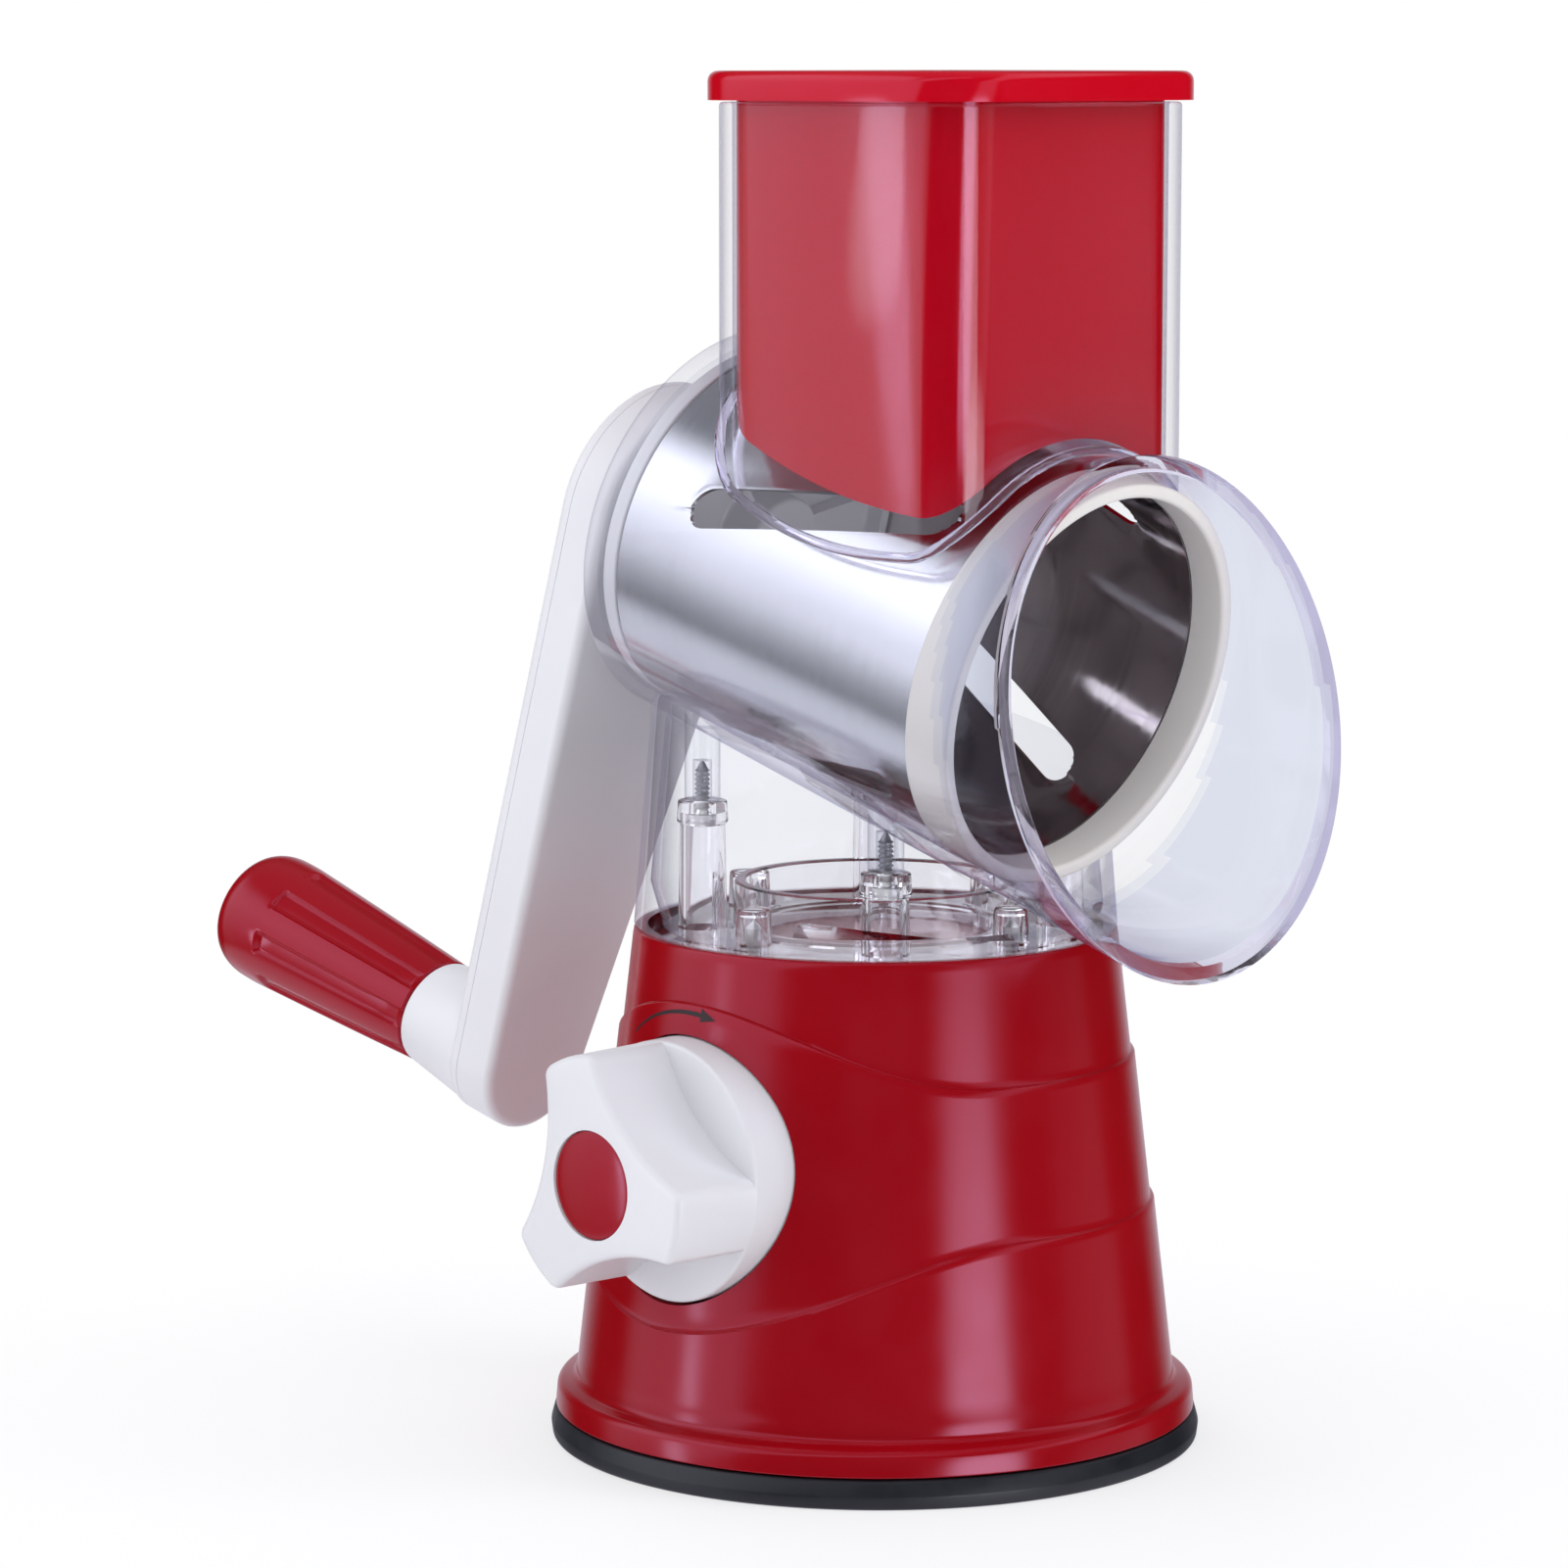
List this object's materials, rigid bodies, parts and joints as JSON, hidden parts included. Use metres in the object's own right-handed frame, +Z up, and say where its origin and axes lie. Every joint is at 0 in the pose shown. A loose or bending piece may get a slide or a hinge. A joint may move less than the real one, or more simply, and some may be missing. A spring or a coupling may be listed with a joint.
{
  "type": "rotary vegetable shredder",
  "caption": "Hand-cranked rotary shredder: a slotted steel drum in a clear barrel under a square hopper with a pusher, on a suction base with a lock knob.",
  "frame": {"origin": "middle of the underside of the rubber foot, in the plane it rests on", "axes": "+Z up the base and the hopper, -Y towards the barrel's mouth, -X towards the lock knob"},
  "size_m": [0.1369, 0.2476, 0.2603],
  "materials": {
    "red_plastic": "glossy moulded plastic",
    "white_plastic": "satin moulded plastic",
    "ivory_plastic": "satin moulded plastic",
    "clear_plastic": "clear polished plastic",
    "black_rubber": "soft matt rubber",
    "dark_plastic": "matt moulded plastic",
    "steel": "polished stainless steel",
    "zinc_steel": "zinc-plated steel"
  },
  "bodies": {
    "base": {"suction_cup": "black_rubber", "bottom_plate": "dark_plastic", "plate_screw_1": "zinc_steel", "plate_screw_2": "zinc_steel", "plate_screw_3": "zinc_steel", "plate_screw_4": "zinc_steel", "cam_bracket": "white_plastic", "bracket_screw_1": "zinc_steel", "bracket_screw_2": "zinc_steel", "base_shell": "red_plastic", "base_screw_1": "zinc_steel", "base_screw_2": "zinc_steel", "base_screw_3": "zinc_steel", "base_screw_4": "zinc_steel", "clear_tower": "clear_plastic", "housing_screw_1": "zinc_steel", "housing_screw_2": "zinc_steel", "housing_screw_3": "zinc_steel", "housing_screw_4": "zinc_steel", "drum_housing": "clear_plastic", "rear_bush": "ivory_plastic"},
    "lock": {"lock_knob": "white_plastic", "knob_cap": "red_plastic", "knob_screw": "zinc_steel", "cam_shaft": "steel"},
    "lifter": {"lift_yoke": "white_plastic"},
    "crank": {"drive_coupling": "white_plastic", "crank_arm": "white_plastic", "crank_cover": "white_plastic", "crank_screw": "zinc_steel", "grip_spindle": "steel", "grip_screw": "zinc_steel"},
    "handle": {"crank_grip": "red_plastic", "grip_end_cap": "red_plastic"},
    "drum": {"drum_shell": "steel", "drum_front_ring": "ivory_plastic", "drum_hub": "white_plastic"},
    "pusher": {"pusher": "red_plastic"}
  },
  "joints": [
    {"name": "crank_turn", "type": "hinge", "parent": "base", "child": "crank", "pos_m": [0, 0.03941, 0.17454], "axis": [0, -0.9627, -0.2706], "continuous": true},
    {"name": "handle_spin", "type": "hinge", "parent": "crank", "child": "handle", "pos_m": [-0.0123, 0.13619, 0.07782], "axis": [0, -0.9627, -0.2706], "continuous": true},
    {"name": "drum_pull", "type": "slide", "parent": "crank", "child": "drum", "axis": [0, -0.9627, -0.2706], "range_m": [0, 0.135]},
    {"name": "pusher_lift", "type": "slide", "parent": "base", "child": "pusher", "axis": [0, 0, 1], "range_m": [0, 0.09]},
    {"name": "knob_turn", "type": "hinge", "parent": "base", "child": "lock", "pos_m": [0, 0, 0.058], "axis": [0.998, -0.0637, 0], "range_deg": [0, 90]},
    {"name": "yoke_lift", "type": "slide", "parent": "base", "child": "lifter", "axis": [0, 0, 1], "range_m": [0, 0.003]}
  ],
  "couplings": [
    {"joint": "yoke_lift", "follows": "knob_turn", "m_per_rad": 0.0019098}
  ]
}
